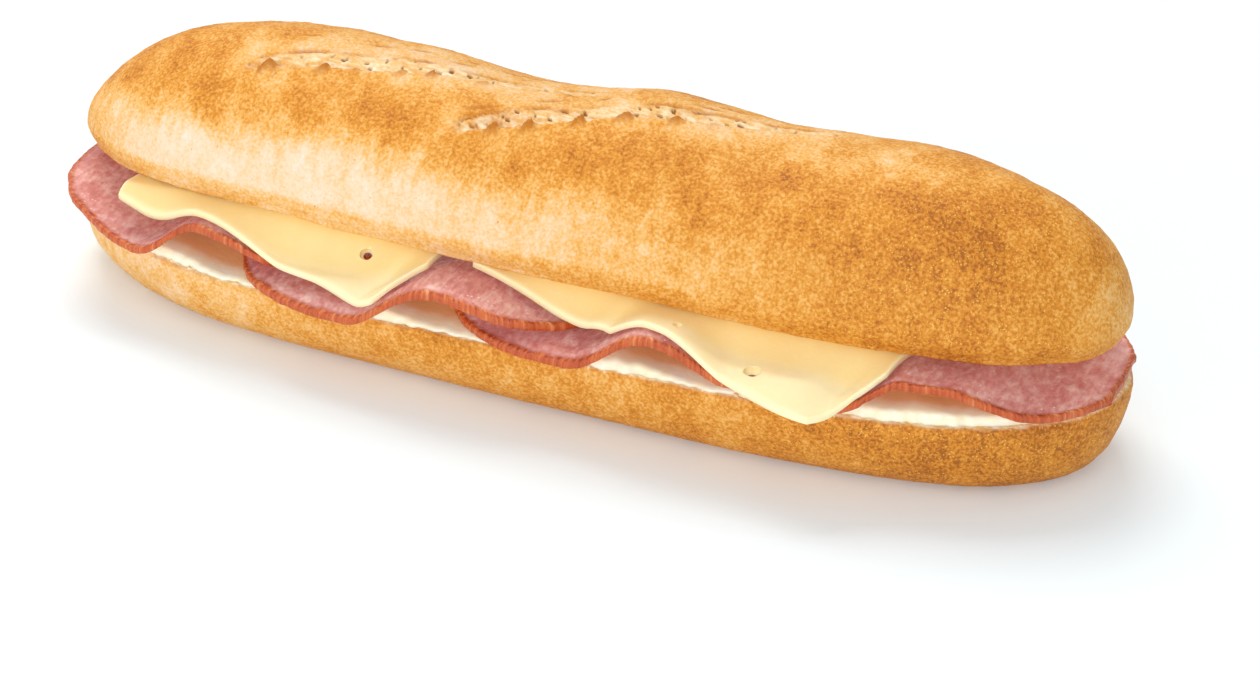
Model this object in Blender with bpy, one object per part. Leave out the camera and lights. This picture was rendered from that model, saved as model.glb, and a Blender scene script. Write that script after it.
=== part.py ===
"""Submarine sandwich: a short baguette cut through, a spread, four slices of smoked ham and two of cheese.

Metres, +Z up. X runs along the loaf, the filling shows along the front at -Y, and the origin is under the
middle of the loaf on the surface that it stands on.

The filling is a stack of height fields over the plan: each slice lies on what is below it, with CLEARANCE
between, and the front of every ham slice stands up in a wave.
"""

import functools
import math

import bpy
import numpy as np

MM = 0.001

# The loaf in plan
LOAF_LENGTH = 260 * MM
BASE_WIDTH = 72 * MM
TOP_LENGTH = 258 * MM
TOP_WIDTH = 64 * MM
END_POWER = 4.6
BOW = 2.4 * MM

# The lower half, cut a little higher at its +X end
BASE_HEIGHT = 18 * MM
CUT_RISE = 0.018
BASE_INSET = 10 * MM
CUT_EDGE = 1.2 * MM

# The upper half, which rests on the filling, tipped up at the front
TOP_HEIGHT = 33.8 * MM
TUCK_HEIGHT = 5 * MM
TUCK_INSET = 1.8 * MM
CROWN_POWER = 2.0
RIGHT_DROOP = 0.06
RIGHT_DROOP_POWER = 3
LEFT_DROOP = 0.48
LEFT_DROOP_POWER = 5
DIP_MIDDLE = -18 * MM
DIP_DEPTH = 3.0 * MM
DIP_LENGTH = 35 * MM
# Where the crown is a little fuller, or hollow below 0, in mm: its middle, width and height
CROWN_LUMPS = ((-52, 10, -0.8), (17, 10, 1.2), (45, 9, -0.8), (86, 18, 1.7))
TOP_TILT = math.radians(4.8)
TOP_ROLL = -0.006
BACK_GAP = 10.0 * MM
TOP_SHIFT_X = -1 * MM
TOP_SHIFT = 1.6 * MM
# The -X end of the upper half bends down.
LEFT_SAG = 3 * MM
SAG_START = -62 * MM

# Two scores across the crown: where each starts and ends in plan
SCORES = (((-78, -13), (6, 4)), ((-21, -18), (58, 7)))
SCORE_WIDTH = 7 * MM
SCORE_DEPTH = 2.2 * MM

# The filling
CLEARANCE = 0.4 * MM
SPREAD_THICKNESS = 2.2 * MM
SPREAD_LEAST = 0.5 * MM
SPREAD_INSET = 0.9 * MM
HAM_THICKNESS = 2.0 * MM
HAM_LENGTH = 96 * MM
HAM_DEPTH = 72 * MM
HAM_POWER = 3.4
HAM_RETREAT = 0.2
# Past this x a slice follows the rim of the lower half, and hangs over it by this much.
TRIM_START = 80 * MM
RIM_OVERHANG = 1.0 * MM
LEFT_CURL = 8 * MM
LEFT_CURL_START = -92 * MM
RIGHT_CURL = 0.5 * MM
RIGHT_CURL_START = 100 * MM
CHEESE_THICKNESS = 1.7 * MM
# The cheese comes down from the upper half onto the ham between these two lines along the upper half's rim.
DRAPE_INSIDE = 8 * MM
DRAPE_OUTSIDE = 3 * MM
# Where a slice lies over another on a slope, room for it as a share of its thickness
STEEPNESS = 0.2
# Past the front rim of the lower half a slice drops this much for each mm that it hangs out.
RIM_DROP = 0.3
FRONT_RIM = -BASE_WIDTH / 2 - BOW
TOP_RIM = TOP_SHIFT - TOP_WIDTH / 2 - BOW

# Each ham slice, in mm: middle x and y, then its wave's crest x, height, and run to the left and right
HAM = {
    "ham_slice_1": (-80, -1, -84, 9.5, 17, 34),
    "ham_slice_2": (-30, -7, -22, 9.5, 21, 44),
    "ham_slice_3": (24, -6, 31, 9.0, 20, 27),
    "ham_slice_4": (81, -2, 91, 8.5, 19, 29),
}
# How far the front edge goes back under the cheese where the wave of a slice runs out to the right, and
# the share of that run where it starts to
TAIL_START = 0.35
TAIL_TUCK = {"ham_slice_1": 11 * MM, "ham_slice_2": 9 * MM, "ham_slice_3": 0, "ham_slice_4": 0}

# Each cheese slice, in mm: its left and front corners, depth, and how far its front corner is dragged
CHEESE = {
    "cheese_slice_1": ((-108, -29), (-27, -41.5), 58, -9),
    "cheese_slice_2": ((-17, -29), (82, -46.5), 60, -11),
}

# Mesh density
LOAF_AROUND = 80
HAM_GRID = (21, 8)
CHEESE_GRID = (19, 9)
SPREAD_GRID = (49, 8)


def smooth_step(low, high, value):
    share = np.clip((value - low) / (high - low), 0, 1)
    return share * share * (3 - 2 * share)


def soft_max(a, b, width=0.8 * MM):
    """The larger of two heights, rounded where they cross."""
    return (a + b + np.sqrt((a - b) ** 2 + width**2)) / 2


def soft_min(a, b, width=0.8 * MM):
    return -soft_max(-a, -b, width)


# ---- Loaf


def unit_outline(count):
    """Evenly spaced points of the loaf's outline in plan, scaled to a half-length and half-width of 1."""
    t = np.linspace(0, 2 * np.pi, 4001)
    x = np.sign(np.cos(t)) * np.abs(np.cos(t)) ** (2 / END_POWER)
    y = np.sin(t)
    steps = np.hypot(np.diff(x) * LOAF_LENGTH, np.diff(y) * BASE_WIDTH)
    run = np.concatenate([[0], np.cumsum(steps)])
    even = np.linspace(0, run[-1], count + 1)[:-1]
    return np.interp(even, run, x), np.interp(even, run, y)


def ring(length, width, inset, height):
    """One closed ring of the loaf, inset from its outline, at a height."""
    x, y = unit_outline(LOAF_AROUND)
    points = np.zeros((LOAF_AROUND, 3))
    points[:, 0] = (length / 2 - inset) * x
    points[:, 1] = (width / 2 - inset) * y
    points[:, 2] = height
    return points


def spine(length, width, height):
    """The line down the middle of the loaf, as a ring folded flat that closes the body."""
    return ring(length, width, width / 2, height)


def bowed(points):
    """The loaf bulges a little towards the front in the middle of its length."""
    out = points.copy()
    out[:, 1] -= BOW * (1 - (points[:, 0] / (LOAF_LENGTH / 2)) ** 2)
    return out


def cut_height(x):
    """The cut face of the lower half."""
    return BASE_HEIGHT + CUT_RISE * x


def bottom_rings():
    side = BASE_HEIGHT - CUT_EDGE
    rings = [spine(LOAF_LENGTH, BASE_WIDTH, 0)]
    rings.append(ring(LOAF_LENGTH, BASE_WIDTH, (BASE_WIDTH / 2 + BASE_INSET) / 2, 0))
    for angle in np.linspace(0, math.pi / 2, 7):
        inset = BASE_INSET * (1 - math.sin(angle))
        rings.append(ring(LOAF_LENGTH, BASE_WIDTH, inset, side * (1 - math.cos(angle))))
    rings.append(ring(LOAF_LENGTH, BASE_WIDTH, CUT_EDGE, BASE_HEIGHT))
    rings.append(spine(LOAF_LENGTH, BASE_WIDTH, BASE_HEIGHT))
    for points in rings:
        points[:, 2] *= cut_height(points[:, 0]) / BASE_HEIGHT
    return [bowed(points) for points in rings]


def top_rings():
    rings = [spine(TOP_LENGTH, TOP_WIDTH, 0)]
    rings.append(ring(TOP_LENGTH, TOP_WIDTH, TUCK_INSET + CUT_EDGE, 0))
    for share in (0, 0.5):
        inset = TUCK_INSET * (1 - math.sin(share * math.pi / 2))
        rings.append(ring(TOP_LENGTH, TOP_WIDTH, inset, CUT_EDGE + (TUCK_HEIGHT - CUT_EDGE) * share))
    power = 2 / CROWN_POWER
    for angle in np.linspace(0, math.pi / 2, 13):
        inset = TOP_WIDTH / 2 * (1 - math.cos(angle) ** power)
        rise = (TOP_HEIGHT - TUCK_HEIGHT) * math.sin(angle) ** power
        rings.append(ring(TOP_LENGTH, TOP_WIDTH, inset, TUCK_HEIGHT + rise))
    return [tipped(bowed(crowned(points))) for points in rings]


def crowned(points):
    """The crown lower at the ends and dipped at its back, with the scores sunk into it."""
    out = points.copy()
    share = np.abs(points[:, 0]) / (TOP_LENGTH / 2)
    above = np.maximum(points[:, 2] - TUCK_HEIGHT, 0)
    crown = smooth_step(0.5, 0.9, above / (TOP_HEIGHT - TUCK_HEIGHT))
    left = LEFT_DROOP * share**LEFT_DROOP_POWER
    out[:, 2] -= above * np.where(points[:, 0] < 0, left, RIGHT_DROOP * share**RIGHT_DROOP_POWER)
    for middle, width, height in CROWN_LUMPS:
        out[:, 2] += height * MM * crown * np.exp(-(((points[:, 0] / MM - middle) / width) ** 2))
    dip = 0.5 + 0.5 * np.cos(np.pi * np.clip((points[:, 0] - DIP_MIDDLE) / DIP_LENGTH, -1, 1))
    out[:, 2] -= DIP_DEPTH * dip * crown * smooth_step(-14 * MM, 4 * MM, points[:, 1])
    out[:, 2] -= SCORE_DEPTH * crown * score_share(points[:, 0], points[:, 1])
    return out


def score_share(x, y):
    """How deep in a score a point of the crown is, from 0 outside to 1 in its middle."""
    deepest = np.zeros(len(x))
    for start, end in SCORES:
        start, end = np.array(start) * MM, np.array(end) * MM
        run = end - start
        along = ((x - start[0]) * run[0] + (y - start[1]) * run[1]) / (run @ run)
        across = np.abs((x - start[0]) * run[1] - (y - start[1]) * run[0]) / np.hypot(*run)
        taper = np.sqrt(np.clip(4 * along * (1 - along), 0, 1))
        deepest = np.maximum(deepest, taper * (1 - smooth_step(0.3, 1, across / SCORE_WIDTH)))
    return deepest


def along_rise(x):
    """How the upper half rises and falls along its length."""
    return TOP_ROLL * x - LEFT_SAG * smooth_step(SAG_START, -TOP_LENGTH / 2, x)


def tipped(points):
    """The upper half set down on the filling, turned up about its back edge."""
    out = points.copy()
    out[:, 0] += TOP_SHIFT_X
    y = points[:, 1] - TOP_WIDTH / 2
    out[:, 1] = TOP_WIDTH / 2 + TOP_SHIFT + y * math.cos(TOP_TILT) + points[:, 2] * math.sin(TOP_TILT)
    out[:, 2] = BASE_HEIGHT + BACK_GAP - y * math.sin(TOP_TILT) + points[:, 2] * math.cos(TOP_TILT)
    out[:, 2] += along_rise(out[:, 0])
    return out


def under_height(x, y):
    """The cut face of the upper half."""
    return BASE_HEIGHT + BACK_GAP + along_rise(x) + (TOP_WIDTH / 2 + TOP_SHIFT - y) * math.tan(TOP_TILT)


# ---- Filling


def round_norm(x, y, power):
    return (np.abs(x) ** power + np.abs(y) ** power) ** (1 / power)


def ham_radius(name, x, y):
    """1 on a ham slice's outline, less inside it."""
    middle_x, middle_y = HAM[name][0] * MM, HAM[name][1] * MM
    return round_norm((x - middle_x) / (HAM_LENGTH / 2), (y - middle_y) / (HAM_DEPTH / 2), HAM_POWER)


def ham_wave(name, x, y):
    """How far a ham slice stands up off its bed: one crest at the front, which dies away inwards.

    At the loaf's ends the slices curl up too.
    """
    crest, height, left, right = (value * MM for value in HAM[name][2:])
    run = np.where(x < crest, left, right)
    bell = 0.5 + 0.5 * np.cos(np.pi * np.clip((x - crest) / run, -1, 1))
    curl = LEFT_CURL * smooth_step(LEFT_CURL_START, -LOAF_LENGTH / 2, x)
    curl = curl + RIGHT_CURL * smooth_step(RIGHT_CURL_START, LOAF_LENGTH / 2, x)
    return height * bell * (1 - smooth_step(-14 * MM, 22 * MM, y)) + curl


def on_slice(name, x, y, near=0.06, far=0.3):
    """1 over a ham slice and a little past its edge, fading to 0 further out."""
    return 1 - smooth_step(near, far, ham_radius(name, x, y) - 1)


def stack_step(y):
    """From one ham slice to the one on it: more in front, where both are on a slope."""
    return HAM_THICKNESS * (1 + STEEPNESS * (1 - smooth_step(-14 * MM, 22 * MM, y))) + 1.5 * CLEARANCE


def ham_height(name, x, y):
    """The middle of a ham slice's thickness. Each slice lies over the next one to its right."""
    names = sorted(HAM)
    place = names.index(name)
    rest = cut_height(x) + SPREAD_LEAST + 2 * CLEARANCE + HAM_THICKNESS / 2
    rest = rest - RIM_DROP * np.maximum(FRONT_RIM - y, 0)
    ceiling = under_height(x, y) - 4 * CLEARANCE - CHEESE_THICKNESS - HAM_THICKNESS / 2
    for upper in names[:place][-1:]:
        ceiling = ceiling - stack_step(y) * on_slice(upper, x, y)
    height = soft_min(rest + ham_wave(name, x, y), ceiling, 0.3 * MM)
    for lower in names[place + 1 :][:1]:
        over = ham_height(lower, x, y) + stack_step(y)
        height = height + on_slice(lower, x, y) * (soft_max(height, over) - height)
    return height


def ham_top(x, y):
    """The top of the highest ham slice at each point, or the bed where there is none."""
    highest = cut_height(x) + SPREAD_THICKNESS
    for name in HAM:
        top = ham_height(name, x, y) + stack_step(y) - CLEARANCE - HAM_THICKNESS / 2
        highest = highest + on_slice(name, x, y) * (soft_max(highest, top, 0.3 * MM) - highest)
    return highest


def cheese_height(x, y):
    """The middle of a cheese slice's thickness: against the upper half, and on the ham in front of it."""
    pressed = under_height(x, y) - CLEARANCE - CHEESE_THICKNESS / 2
    lying = ham_top(x, y) + CLEARANCE + CHEESE_THICKNESS / 2
    in_front = smooth_step(-DRAPE_INSIDE, DRAPE_OUTSIDE, TOP_RIM - y)
    return soft_max(lying, pressed + in_front * (lying - pressed), 0.3 * MM)


def spread_lid(x, y):
    """The top of the spread: full thickness where it can be seen, and pressed thin under the ham."""
    lid = cut_height(x) + CLEARANCE + SPREAD_THICKNESS
    for name in HAM:
        least = ham_height(name, x, y) - HAM_THICKNESS / 2 - 1.4 * CLEARANCE
        lid = lid + on_slice(name, x, y, 0.1, 0.35) * (soft_min(lid, least, 0.1 * MM) - lid)
    return lid


def ham_plan(name):
    """A square grid bent to a rounded outline, whose front edge draws back at the wave and at its tail."""
    u, v = np.meshgrid(np.linspace(-1, 1, HAM_GRID[0]), np.linspace(-1, 1, HAM_GRID[1]), indexing="ij")
    scale = np.maximum(np.abs(u), np.abs(v)) / np.maximum(round_norm(u, v, HAM_POWER), 1e-9)
    x = HAM[name][0] * MM + HAM_LENGTH / 2 * u * scale
    y = HAM[name][1] * MM + HAM_DEPTH / 2 * v * scale
    front = smooth_step(0, -25 * MM, y)
    crest, run = HAM[name][2] * MM, HAM[name][5] * MM
    tail = smooth_step(crest + TAIL_START * run, crest + run, x)
    y = y + front * (HAM_RETREAT * ham_wave(name, x, y) + TAIL_TUCK[name] * tail)
    return x, y * trimmed(name, x)


def trimmed(name, x):
    """The share of a slice's depth that stays where its end follows the rim of the lower half."""
    far = np.abs(x) / (LOAF_LENGTH / 2 + RIM_OVERHANG)
    rim = (BASE_WIDTH / 2 + RIM_OVERHANG) * np.sqrt(np.maximum(1 - far**END_POWER, 0))
    along = np.minimum(np.abs(x - HAM[name][0] * MM) / (HAM_LENGTH / 2), 1)
    deep = HAM_DEPTH / 2 * (1 - along**HAM_POWER) ** (1 / HAM_POWER)
    return np.where(x > TRIM_START, np.minimum(1, rim / np.maximum(deep, 1 * MM)), 1)


def cheese_plan(name):
    """A square grid from the left corner to the front corner, which is dragged along where it hangs out."""
    left, front, depth, drag = CHEESE[name]
    left, front = np.array(left) * MM, np.array(front) * MM
    along = front - left
    back = np.array([-along[1], along[0]]) / np.hypot(*along) * depth * MM
    u, v = np.meshgrid(np.linspace(0, 1, CHEESE_GRID[0]), np.linspace(0, 1, CHEESE_GRID[1]), indexing="ij")
    x = left[0] + along[0] * u + back[0] * v
    y = left[1] + along[1] * u + back[1] * v
    hanging = np.clip((TOP_RIM - y) / (TOP_RIM - front[1]), 0, 1)
    return x + drag * MM * hanging * smooth_step(0, 1, u), y


def spread_plan():
    """Columns across the loaf, inside its outline, that close to a point at each end."""
    angles = np.linspace(-np.pi / 2, np.pi / 2, SPREAD_GRID[0])
    along = np.sin(angles) * 0.35 + angles / np.pi * 1.3
    u, v = np.meshgrid(along, np.linspace(-1, 1, SPREAD_GRID[1]), indexing="ij")
    half = (BASE_WIDTH / 2 - SPREAD_INSET) * np.sqrt(np.maximum(1 - np.abs(u) ** END_POWER, 0))
    x = (LOAF_LENGTH / 2 - SPREAD_INSET) * u
    return x, half * v - BOW * (1 - u**2)


def sheet(plan, lower_height, upper_height):
    """A body over a grid in plan, between two height functions, closed round its edge."""
    x, y = plan
    columns, rows = x.shape
    heights = (upper_height(x, y), lower_height(x, y))
    points = [np.column_stack([x.ravel(), y.ravel(), z.ravel()]) for z in heights]
    faces = []
    number = np.arange(columns * rows).reshape(columns, rows)
    for i in range(columns - 1):
        for j in range(rows - 1):
            corners = (number[i, j], number[i + 1, j], number[i + 1, j + 1], number[i, j + 1])
            faces.append(corners)
            faces.append(tuple(corner + columns * rows for corner in reversed(corners)))
    edge = [*number[:, 0], *number[-1, 1:], *number[-2::-1, -1], *number[0, -2:0:-1]]
    for here, following in zip(edge, edge[1:] + edge[:1]):
        faces.append((here, here + columns * rows, following + columns * rows, following))
    return merged(np.concatenate(points), faces)


def slice_body(plan, height, thickness):
    """A slice of even thickness about its middle height."""
    return sheet(plan, lambda x, y: height(x, y) - thickness / 2, lambda x, y: height(x, y) + thickness / 2)


def spread_body():
    plan = spread_plan()
    edge = np.zeros(plan[0].shape)
    edge[:, [0, -1]] = edge[[0, -1], :] = 0.6

    def bed(x, y):
        return cut_height(x) + CLEARANCE

    return sheet(plan, bed, lambda x, y: spread_lid(x, y) * (1 - edge) + bed(x, y) * edge)


# ---- Blender


def lofted(rings):
    """Points and faces of a closed body through rings of equal count."""
    count = len(rings[0])
    faces = []
    for level in range(len(rings) - 1):
        low, high = level * count, (level + 1) * count
        for i in range(count):
            j = (i + 1) % count
            faces.append((low + i, low + j, high + j, high + i))
    return merged(np.concatenate(rings), faces)


def merged(points, faces):
    """Points that coincide made one, and faces that fold flat dropped, as along a spine."""
    keys = np.round(points / (0.001 * MM)).astype(np.int64)
    _, first, index = np.unique(keys, axis=0, return_index=True, return_inverse=True)
    index = index.reshape(-1)
    kept = []
    for face in faces:
        corners = list(dict.fromkeys(int(index[corner]) for corner in face))
        if len(corners) > 2:
            kept.append(corners)
    return points[first], kept


def material(name, colour, roughness):
    made = bpy.data.materials.new(name)
    made.use_nodes = True
    shader = made.node_tree.nodes["Principled BSDF"]
    shader.inputs["Base Color"].default_value = (*colour, 1)
    shader.inputs["Roughness"].default_value = roughness
    return made


def add_body(name, body, finish, shift):
    points, faces = body
    mesh = bpy.data.meshes.new(name)
    mesh.from_pydata([tuple(point) for point in points + shift], [], faces)
    mesh.materials.append(finish)
    mesh.shade_smooth()
    mesh.set_sharp_from_angle(angle=math.radians(40))
    obj = bpy.data.objects.new(name, mesh)
    bpy.context.collection.objects.link(obj)


def to_middle(bodies):
    """The shift that puts the middle of all the bodies' bounding box, in plan, over the origin."""
    points = np.concatenate([points for points, _ in bodies.values()])
    middle = (points.min(axis=0) + points.max(axis=0)) / 2
    return np.array([-middle[0], -middle[1], 0])


def main():
    for obj in list(bpy.data.objects):
        bpy.data.objects.remove(obj)
    finishes = {
        "bread": material("crust", (0.71, 0.36, 0.11), 0.55),
        "ham": material("ham", (0.58, 0.24, 0.19), 0.4),
        "cheese": material("cheese", (0.9, 0.68, 0.33), 0.4),
        "spread": material("spread", (0.93, 0.85, 0.66), 0.25),
    }
    bodies = {
        "bread_bottom": lofted(bottom_rings()),
        "bread_top": lofted(top_rings()),
        "spread_layer": spread_body(),
    }
    for name in HAM:
        bodies[name] = slice_body(ham_plan(name), functools.partial(ham_height, name), HAM_THICKNESS)
    for name in CHEESE:
        bodies[name] = slice_body(cheese_plan(name), cheese_height, CHEESE_THICKNESS)
    shift = to_middle(bodies)
    for name, body in bodies.items():
        add_body(name, body, finishes[name.split("_")[0]], shift)


main()
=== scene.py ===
"""The looks of the submarine sandwich: crust, torn scores, crumb, ham with its rind, cheese and spread.

Shapes are worked out about the design's own origin, from the sizes that part.py has, and set down where
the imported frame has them. Every CAD solid is replaced by a finer mesh of the same form.
"""

import math

import bpy
import numpy as np
from mathutils import Matrix, Quaternion, Vector


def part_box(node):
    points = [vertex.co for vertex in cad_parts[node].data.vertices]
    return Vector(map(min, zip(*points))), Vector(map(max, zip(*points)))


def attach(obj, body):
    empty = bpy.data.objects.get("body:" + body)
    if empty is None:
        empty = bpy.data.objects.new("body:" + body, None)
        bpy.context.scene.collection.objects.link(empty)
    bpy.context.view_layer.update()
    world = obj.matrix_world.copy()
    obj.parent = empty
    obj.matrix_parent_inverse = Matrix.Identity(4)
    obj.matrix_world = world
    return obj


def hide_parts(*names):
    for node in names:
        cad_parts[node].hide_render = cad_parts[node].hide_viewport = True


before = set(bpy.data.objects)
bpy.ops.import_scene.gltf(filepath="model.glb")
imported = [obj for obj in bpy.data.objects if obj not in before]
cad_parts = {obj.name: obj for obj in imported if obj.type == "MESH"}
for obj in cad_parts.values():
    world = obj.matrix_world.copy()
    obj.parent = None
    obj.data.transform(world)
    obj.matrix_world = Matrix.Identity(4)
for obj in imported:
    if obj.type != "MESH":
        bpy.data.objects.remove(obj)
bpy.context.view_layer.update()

MM = 0.001

# ---- Sizes that part.py has too

LOAF_LENGTH = 260 * MM
BASE_WIDTH = 72 * MM
TOP_LENGTH = 258 * MM
TOP_WIDTH = 64 * MM
END_POWER = 4.6
BOW = 2.4 * MM
BASE_HEIGHT = 18 * MM
CUT_RISE = 0.018
BASE_INSET = 10 * MM
CUT_EDGE = 1.2 * MM
TOP_HEIGHT = 33.8 * MM
TUCK_HEIGHT = 5 * MM
TUCK_INSET = 1.8 * MM
RIGHT_DROOP = 0.06
RIGHT_DROOP_POWER = 3
LEFT_DROOP = 0.48
LEFT_DROOP_POWER = 5
DIP_MIDDLE = -18 * MM
DIP_DEPTH = 3.0 * MM
DIP_LENGTH = 35 * MM
CROWN_LUMPS = ((-52, 10, -0.8), (17, 10, 1.2), (45, 9, -0.8), (86, 18, 1.7))
TOP_TILT = math.radians(4.8)
TOP_ROLL = -0.006
BACK_GAP = 10.0 * MM
TOP_SHIFT_X = -1 * MM
TOP_SHIFT = 1.6 * MM
LEFT_SAG = 3 * MM
SAG_START = -62 * MM
SPREAD_THICKNESS = 2.2 * MM
SPREAD_LEAST = 0.5 * MM
HAM_THICKNESS = 2.0 * MM
HAM_LENGTH = 96 * MM
HAM_DEPTH = 72 * MM
HAM_POWER = 3.4
HAM_RETREAT = 0.2
TRIM_START = 80 * MM
RIM_OVERHANG = 1.0 * MM
LEFT_CURL = 8 * MM
LEFT_CURL_START = -92 * MM
RIGHT_CURL = 0.5 * MM
RIGHT_CURL_START = 100 * MM
CHEESE_THICKNESS = 1.7 * MM
DRAPE_INSIDE = 8 * MM
DRAPE_OUTSIDE = 3 * MM
STEEPNESS = 0.2
RIM_DROP = 0.3
FRONT_RIM = -BASE_WIDTH / 2 - BOW
TOP_RIM = TOP_SHIFT - TOP_WIDTH / 2 - BOW
HAM = {
    "ham_slice_1": (-80, -1, -84, 9.5, 17, 34),
    "ham_slice_2": (-30, -7, -22, 9.5, 21, 44),
    "ham_slice_3": (24, -6, 31, 9.0, 20, 27),
    "ham_slice_4": (81, -2, 91, 8.5, 19, 29),
}
TAIL_START = 0.35
TAIL_TUCK = {"ham_slice_1": 11 * MM, "ham_slice_2": 9 * MM, "ham_slice_3": 0, "ham_slice_4": 0}
CHEESE = {
    "cheese_slice_1": ((-108, -29), (-27, -41.5), 58, -9),
    "cheese_slice_2": ((-17, -29), (82, -46.5), 60, -11),
}

# ---- Sizes of the looks

# Real contact between the layers: the CAD solids keep a wider gap than this.
CLEARANCE = 0.15 * MM

# Mesh density: points round the loaf, and columns and rows of the inner part of each slice
LOAF_AROUND = 900
HAM_GRID = (190, 70)
CHEESE_GRID = (170, 84)
SPREAD_GRID = (520, 34)

# The pale band along the upper half's flank starts and ends at these shares of the way up to the crown. The
# band is partly a lighter bake and partly a painted highlight of the broad front light.
PALE_START = (-0.05, 0.05)
PALE_END = (0.5, 0.18)
# Where the crown behind the scores starts, as a share of the way up. The crown's tone is partly painted
# light: paler over most of the length, to make up for light that falls on it at a low angle.
CROWN_START = (0.66, 0.9)
# The scores are on this part of the way up only.
SCORED = (0.45, 0.6)

# The scores' torn lip: from one browned tooth to the next, a tooth's half-width, how far it reaches over the
# trough and stands up, and how deep the trough is
TOOTH_GAP = 9.5 * MM
TOOTH_HALF_WIDTH = 1.9 * MM
TOOTH_REACH = 2.0 * MM
TOOTH_RISE = 1.1 * MM
TROUGH_DEPTH = 1.7 * MM
FOLD_DEPTH = 0.9 * MM
PIT_DEPTH = 0.55 * MM

# Creases behind the scores
MARKS_PER_SCORE = 11
MARK_DEPTH = 0.35 * MM
MARK_WIDTH = 0.5 * MM

# Width of the smoked rind on a ham slice's edge, from solid to none
RIND = (0.7 * MM, 1.5 * MM)

# A hole in the cheese is a stretched ball, its centre this share of the thickness above the slice's middle.
HOLE_STRETCH = (1.25, 1.0, 1.1)
HOLE_RISE = 0.35

# Loose crumbs along the front rim gather about these places, in mm.
CRUMB_COUNT = 90
CRUMB_PLACES = (-34, 22, 60, -92, 10)
CRUMB_SCATTER = 9
CRUMB_VALUES = {"toast": 0.3, "crumb": 0.8, "tips": 0.0, "pits": 0.0}

# The camera, at the photo's angle
CAMERA_AZIMUTH = math.radians(22.2)
CAMERA_ELEVATION = math.radians(31.2)
CAMERA_ROLL = math.radians(1.2)
CAMERA_DISTANCE = 0.877
CAMERA_TARGET = (0.0177, -0.01725, 0.0115)
CAMERA_LENS = 110
CAMERA_SENSOR = 36

# Each light: place, width and height, watts, what it is aimed at, colour
LIGHTS = {
    "key": ((-0.55, 0.75, 1.5), (1.0, 0.8), 14, (0, 0, 0), (1, 0.985, 0.96)),
    "low_fill": ((0.1, -1.3, 0.45), (1.4, 0.6), 3.5, (0, 0, 0.03), (1, 1, 1)),
    "front_fill": ((-0.2, -1.1, 0.95), (1.2, 0.8), 7.5, (0, 0, 0.03), (1, 1, 1)),
}
SKY_COLOUR = (0.96, 0.985, 1, 1)
SKY_STRENGTH = 0.62
FLOOR_SIZE = 6
FLOOR_COLOUR = (0.875, 0.935, 0.955, 1)

# Where the design's own origin is in the frame
base_low, base_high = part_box("bread_bottom")
SHIFT = np.array([(base_low[0] + base_high[0]) / 2, base_low[1] - FRONT_RIM, 0])


# ---- Small maths


def smooth_step(low, high, value):
    share = np.clip((value - low) / (high - low), 0, 1)
    return share * share * (3 - 2 * share)


def bell(middle, width, value):
    return np.exp(-(((value - middle) / width) ** 2))


def soft_max(a, b, width=0.8 * MM):
    """The larger of two heights, rounded where they cross."""
    return (a + b + np.sqrt((a - b) ** 2 + width**2)) / 2


def soft_min(a, b, width=0.8 * MM):
    return -soft_max(-a, -b, width)


def noise(points, size, seed):
    """Smooth gradient noise of about -1 to 1 at (..., 3) points, with features of the given size."""
    shape = points.shape[:-1]
    place = points.reshape(-1, 3) / np.asarray(size) + seed * 17.37
    cell = np.floor(place).astype(np.int64)
    inside = place - cell
    fade = inside**3 * (inside * (inside * 6 - 15) + 10)
    total = np.zeros(len(place))
    for corner in np.ndindex(2, 2, 2):
        spot = cell + corner
        mixed = spot[:, 0] * 73856093 ^ spot[:, 1] * 19349663 ^ spot[:, 2] * 83492791 ^ seed * 6971
        mixed = (mixed ^ mixed >> 13) * 1274126177
        mixed = mixed ^ mixed >> 16
        slope = np.stack([mixed & 255, mixed >> 8 & 255, mixed >> 16 & 255], axis=1) / 127.5 - 1
        weight = np.prod(np.where(corner, fade, 1 - fade), axis=1)
        total += weight * ((inside - corner) * slope).sum(axis=1)
    return (total * 1.4).reshape(shape)


def rough(points, size, seed, octaves=3):
    """Noise at several sizes, each half as large and half as strong as the last."""
    total = 0
    for octave in range(octaves):
        total = total + noise(points, np.asarray(size) / 2**octave, seed + octave) / 2**octave
    return total


# ---- Meshes


def make_mesh(name, points, quads, values, finish):
    """A piece from points and quads, with named values stored at its points for the material to read."""
    used, index = np.unique(quads, return_inverse=True)
    quads = index.reshape(quads.shape)
    mesh = bpy.data.meshes.new(name)
    mesh.vertices.add(len(used))
    mesh.vertices.foreach_set("co", (points[used] + SHIFT).astype(np.float32).ravel())
    mesh.loops.add(quads.size)
    mesh.loops.foreach_set("vertex_index", quads.astype(np.int32).ravel())
    mesh.polygons.add(len(quads))
    mesh.polygons.foreach_set("loop_start", np.arange(0, quads.size, 4, dtype=np.int32))
    mesh.update(calc_edges=True)
    mesh.validate()
    for key, value in values.items():
        stored = mesh.attributes.new(key, "FLOAT", "POINT")
        stored.data.foreach_set("value", value[used].astype(np.float32))
    mesh.materials.append(finish)
    mesh.shade_smooth()
    piece = bpy.data.objects.new(name, mesh)
    bpy.context.collection.objects.link(piece)
    return piece


def stand_for(piece, node):
    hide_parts(node)
    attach(piece, "root")


def ring_quads(rings, around):
    """Quads of a closed body through rings, whose first and last ring are folded flat onto a line."""
    number = np.arange(rings * around).reshape(rings, around)
    folded = np.minimum(np.arange(around), (around - np.arange(around)) % around)
    number[0] = number[0][folded]
    number[-1] = number[-1][folded]
    following = np.roll(number, -1, axis=1)
    return np.stack([number[:-1], following[:-1], following[1:], number[1:]], axis=-1).reshape(-1, 4)


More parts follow.
